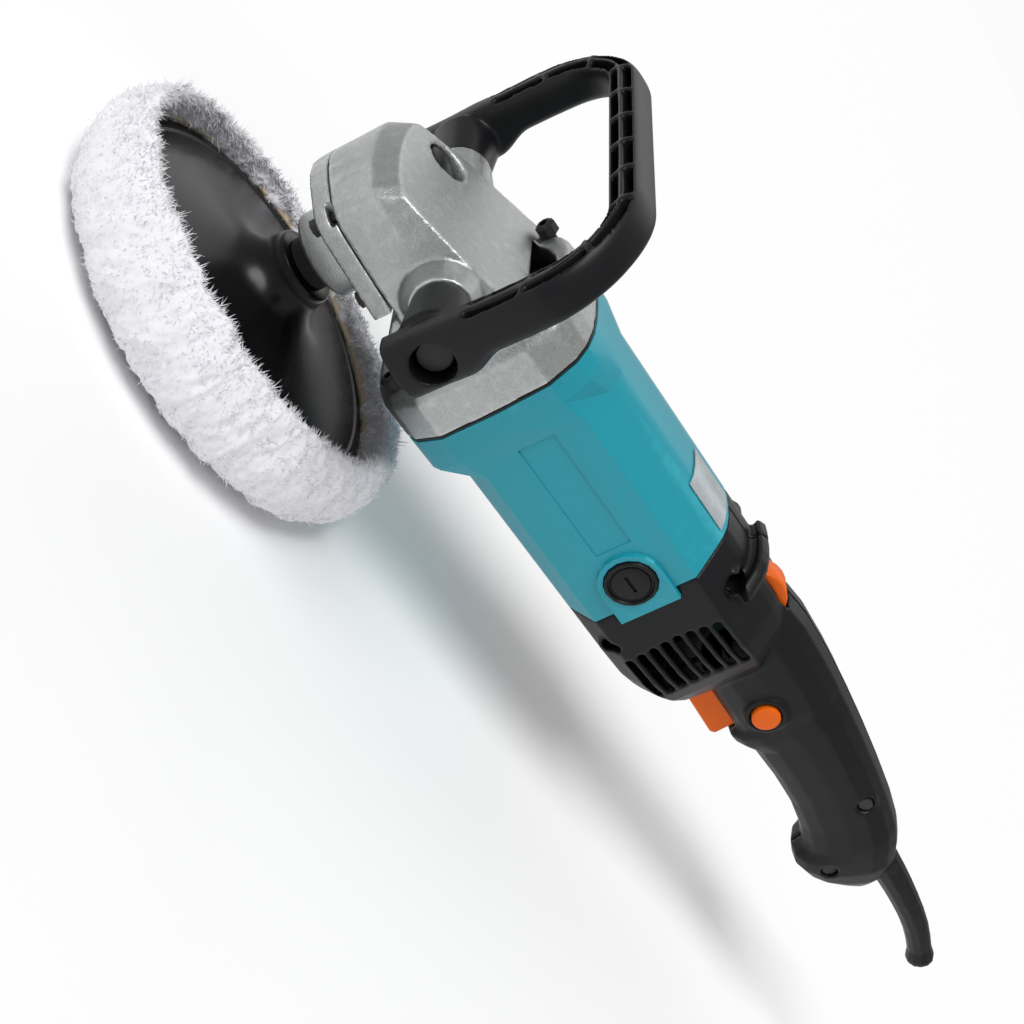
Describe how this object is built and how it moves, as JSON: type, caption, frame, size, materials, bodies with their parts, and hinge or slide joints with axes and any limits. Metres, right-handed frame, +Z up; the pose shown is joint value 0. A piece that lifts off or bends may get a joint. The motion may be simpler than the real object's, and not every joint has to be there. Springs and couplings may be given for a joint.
{
  "type": "rotary polisher",
  "caption": "Electric rotary polisher: cast gear head with wool bonnet on a backing pad, loop handle, motor body, trigger grip, speed dial and flexible cord guard.",
  "frame": {"origin": "centre of the wool bonnet's flat bottom face, on the spindle's axis", "axes": "+Z up the spindle, +X back along the motor towards the grip, -Y the operator's left (the lock-on button's side)"},
  "size_m": [0.6007, 0.1951, 0.1945],
  "materials": {
    "wool": "white lambswool pile",
    "cast_aluminium": "sand-cast, speckled, edges worn bright",
    "steel": "ground",
    "dark_steel": "black oxide",
    "laminations": "varnished sheet stack",
    "copper": "enamelled copper",
    "brass": "pressed",
    "teal_plastic": "satin moulded",
    "black_plastic": "fine texture",
    "black_rubber": "smooth",
    "orange_plastic": "satin moulded",
    "board_green": "solder mask",
    "carbon": "pressed graphite",
    "label_film": "blank printed film"
  },
  "bodies": {
    "housing": {"lower_bearing": "steel", "upper_bearing": "steel", "gear_cover": "cast_aluminium", "cover_screw_1": "dark_steel", "cover_screw_2": "dark_steel", "cover_screw_3": "dark_steel", "cover_screw_4": "dark_steel", "bearing_retainer": "cast_aluminium", "gear_housing": "cast_aluminium", "flange_screw_1": "dark_steel", "flange_screw_2": "dark_steel", "flange_screw_3": "dark_steel", "flange_screw_4": "dark_steel", "shaft_lock_spring": "steel", "loop_handle": "black_plastic", "loop_bolt_left": "dark_steel", "loop_bolt_right": "dark_steel", "front_bearing": "steel", "rear_bearing": "steel", "stator_core": "laminations", "upper_field_coil": "copper", "lower_field_coil": "copper", "brush_holder_left": "brass", "brush_holder_right": "brass", "carbon_brush_left": "carbon", "carbon_brush_right": "carbon", "brush_spring_left": "steel", "brush_spring_right": "steel", "brush_cap_left": "black_plastic", "brush_cap_right": "black_plastic", "motor_housing": "teal_plastic", "motor_gasket": "black_rubber", "rating_label": "label_film", "handle_shell_left": "black_plastic", "handle_shell_right": "black_plastic", "shell_screw_top": "dark_steel", "shell_screw_bottom": "dark_steel", "shell_screw_grip": "dark_steel", "shell_screw_heel": "dark_steel", "power_switch": "black_plastic", "dial_axle": "steel", "speed_control_board": "board_green", "cord_guard": "black_rubber"},
    "spindle_unit": {"spindle": "steel", "bevel_gear": "steel", "pad_thread_insert": "steel", "backing_pad": "black_rubber", "wool_bonnet": "wool"},
    "armature_unit": {"armature_shaft": "steel", "pinion": "steel", "cooling_fan": "black_plastic", "armature_core": "laminations", "front_winding": "copper", "rear_winding": "copper", "commutator": "copper"},
    "trigger_body": {"trigger": "orange_plastic"},
    "lock_on_body": {"lock_on_button": "orange_plastic"},
    "dial_body": {"speed_dial": "orange_plastic"},
    "shaft_lock_body": {"shaft_lock_button": "black_plastic", "shaft_lock_pin": "steel"}
  },
  "joints": [
    {"name": "spindle_spin", "type": "hinge", "parent": "housing", "child": "spindle_unit", "pos_m": [0, 0, 0], "axis": [0, 0, 1], "continuous": true},
    {"name": "armature_spin", "type": "hinge", "parent": "housing", "child": "armature_unit", "pos_m": [0.1, 0, 0.0973], "axis": [1, 0, 0], "continuous": true},
    {"name": "trigger_pull", "type": "slide", "parent": "housing", "child": "trigger_body", "axis": [0, 0, 1], "range_m": [0, 0.005], "stiffness_N_per_m": 1500},
    {"name": "lock_on_press", "type": "slide", "parent": "housing", "child": "lock_on_body", "axis": [0, 1, 0], "range_m": [0, 0.003], "stiffness_N_per_m": 1500},
    {"name": "speed_dial_turn", "type": "hinge", "parent": "housing", "child": "dial_body", "pos_m": [0.237, -0.003, 0.127], "axis": [0, 1, 0], "range_deg": [-150, 150]},
    {"name": "shaft_lock_press", "type": "slide", "parent": "housing", "child": "shaft_lock_body", "axis": [0, 0, -1], "range_m": [0, 0.0032], "stiffness_N_per_m": 1500, "deforming": ["shaft_lock_spring"]}
  ],
  "couplings": [
    {"joint": "spindle_spin", "follows": "armature_spin", "ratio": 0.25}
  ]
}
